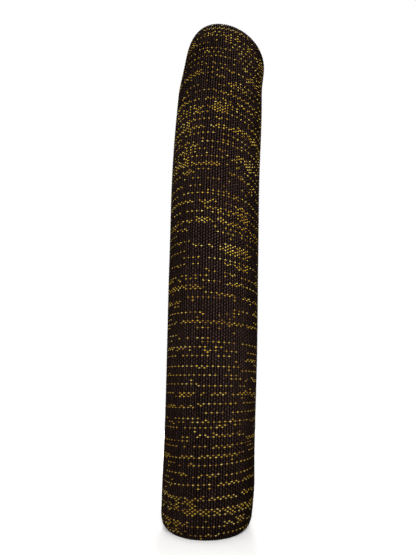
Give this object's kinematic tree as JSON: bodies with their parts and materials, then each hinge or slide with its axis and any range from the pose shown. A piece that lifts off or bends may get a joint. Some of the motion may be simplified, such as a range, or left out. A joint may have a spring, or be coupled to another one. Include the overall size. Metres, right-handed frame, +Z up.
{
  "type": "roll of woven cloth",
  "caption": "Upright roll of coarse plain-woven cloth, near-black with broken gold flecks, both ends turned in and the lower end flat to stand on.",
  "frame": {"origin": "middle of the flat foot, on the surface that the roll stands on", "axes": "+Z up the roll, -Y towards the side that the picture shows, +X towards the side it leans to"},
  "size_m": [0.094, 0.0818, 0.4563],
  "materials": {
    "cloth": "matt, ribbed plain weave"
  },
  "bodies": {
    "root": {"cloth_roll": "cloth"}
  },
  "joints": []
}
